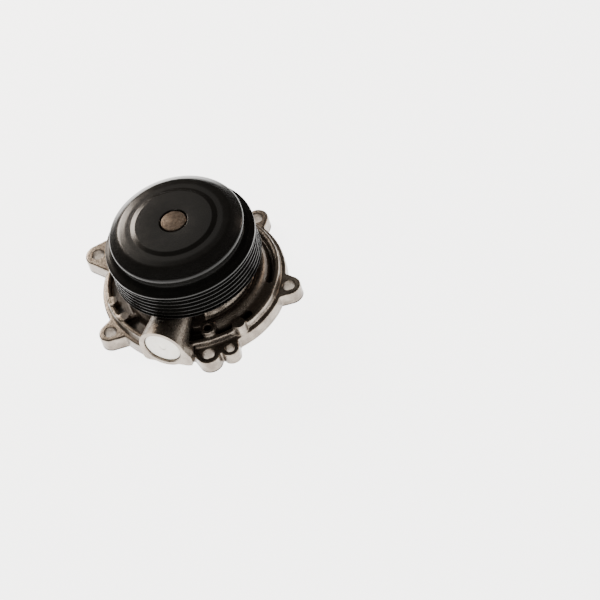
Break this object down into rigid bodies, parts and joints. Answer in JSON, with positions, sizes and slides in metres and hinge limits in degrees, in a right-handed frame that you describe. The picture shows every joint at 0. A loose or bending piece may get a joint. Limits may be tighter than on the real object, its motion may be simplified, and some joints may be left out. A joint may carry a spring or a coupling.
{
  "type": "engine water pump",
  "caption": "Belt-driven coolant pump: cast flanged housing with volute and side port, domed ribbed-belt pulley on a bearing-mounted shaft, impeller, shaft seal and gasket.",
  "frame": {"origin": "middle of the overall box in plan, at the gasket's lower face; the shaft axis stands 4.21 mm to +X of it", "axes": "+Z along the shaft, from the gasket face towards the pulley; -Y towards the side on which the water port and the two neighbouring lugs lie; +X completes a right-handed frame"},
  "size_m": [0.1391, 0.1444, 0.075],
  "materials": {
    "cast_aluminium": "as-cast, fine sand grain, machined on the gasket face, port mouth and lug tops",
    "gasket_sheet": "dark brown-black beaded sheet gasket",
    "pulley_paint": "satin black coating on pressed steel",
    "shaft_steel": "turned and ground steel, slightly tarnished on the end",
    "bearing_steel": "ground bearing steel",
    "bearing_rubber": "moulded nitrile rubber",
    "cage_brass": "machined brass",
    "ball_steel": "polished bearing steel",
    "roller_steel": "polished bearing steel",
    "seal_cup_steel": "drawn stainless steel",
    "seal_rubber": "moulded rubber",
    "spring_steel": "drawn spring wire",
    "seal_carbon": "lapped carbon graphite",
    "seal_ceramic": "lapped off-white ceramic",
    "impeller_cast": "as-cast",
    "cap_plastic": "cream white moulded polyethylene"
  },
  "bodies": {
    "housing": {"pump_housing": "cast_aluminium", "gasket": "gasket_sheet", "bearing_outer_ring": "bearing_steel", "bearing_seal_front": "bearing_rubber", "bearing_seal_rear": "bearing_rubber", "seal_cup": "seal_cup_steel", "seal_bellows": "seal_rubber", "seal_spring": "spring_steel", "seal_carbon_ring": "seal_carbon"},
    "rotor": {"pulley": "pulley_paint", "shaft": "shaft_steel", "impeller": "impeller_cast", "seal_mating_ring": "seal_ceramic", "seal_mating_cup": "seal_rubber"},
    "ball_set": {"ball_cage": "cage_brass", "ball_1": "ball_steel", "ball_2": "ball_steel", "ball_3": "ball_steel", "ball_4": "ball_steel", "ball_5": "ball_steel", "ball_6": "ball_steel", "ball_7": "ball_steel", "ball_8": "ball_steel"},
    "roller_set": {"roller_cage": "cage_brass", "roller_1": "roller_steel", "roller_2": "roller_steel", "roller_3": "roller_steel", "roller_4": "roller_steel", "roller_5": "roller_steel", "roller_6": "roller_steel", "roller_7": "roller_steel", "roller_8": "roller_steel", "roller_9": "roller_steel", "roller_10": "roller_steel"},
    "port_plug": {"transport_cap": "cap_plastic"}
  },
  "joints": [
    {"name": "shaft_spin", "type": "hinge", "parent": "housing", "child": "rotor", "pos_m": [0.00421, 0, 0], "axis": [0, 0, 1], "continuous": true},
    {"name": "ball_set_spin", "type": "hinge", "parent": "housing", "child": "ball_set", "pos_m": [0.00421, 0, 0.0508], "axis": [0, 0, 1], "continuous": true},
    {"name": "roller_set_spin", "type": "hinge", "parent": "housing", "child": "roller_set", "pos_m": [0.00421, 0, 0.0392], "axis": [0, 0, 1], "continuous": true},
    {"name": "port_plug_pull", "type": "slide", "parent": "housing", "child": "port_plug", "axis": [-0.6088, -0.7934, 0], "range_m": [0, 0.02]}
  ],
  "couplings": [
    {"joint": "ball_set_spin", "follows": "shaft_spin", "ratio": 0.3511},
    {"joint": "roller_set_spin", "follows": "shaft_spin", "ratio": 0.3894}
  ]
}
